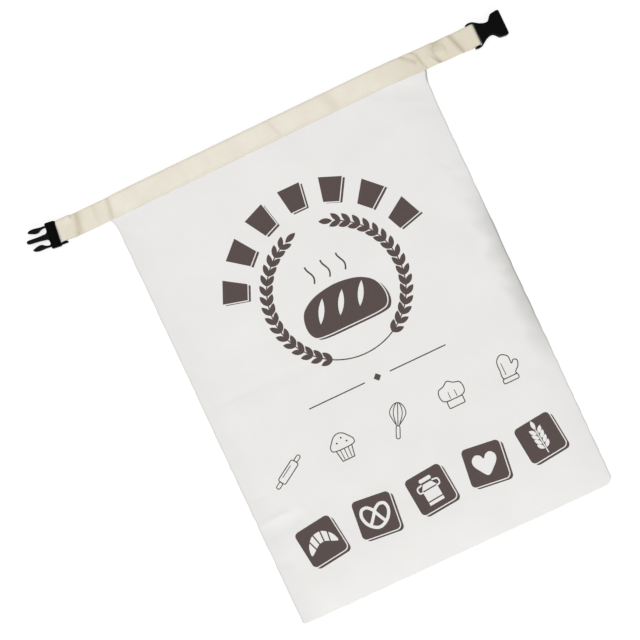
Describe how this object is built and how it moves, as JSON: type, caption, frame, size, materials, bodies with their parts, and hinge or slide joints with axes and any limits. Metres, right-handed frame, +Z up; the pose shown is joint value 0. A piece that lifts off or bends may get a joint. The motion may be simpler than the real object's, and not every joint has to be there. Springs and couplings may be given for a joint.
{
  "type": "bread bag",
  "caption": "Flat cotton bread bag lying empty, with a webbing band across its open mouth and a side-release buckle on the band's tails that closes the rolled top.",
  "frame": {"origin": "middle of the footprint, on the surface the bag lies on", "axes": "+X along the webbing band towards the buckle's socket half, +Y from the bottom seam towards the open mouth, +Z up out of the surface, towards the printed front"},
  "size_m": [0.461, 0.4179, 0.0099],
  "materials": {
    "cloth": "matt white cotton canvas with a dark brown one-colour print on the front",
    "tape": "matt cream cotton webbing",
    "plastic": "satin black moulded plastic"
  },
  "bodies": {
    "root": {"back_panel": "cloth", "front_panel": "cloth", "band_tape": "tape", "buckle_prong_half": "plastic", "buckle_socket_half": "plastic"}
  },
  "joints": []
}
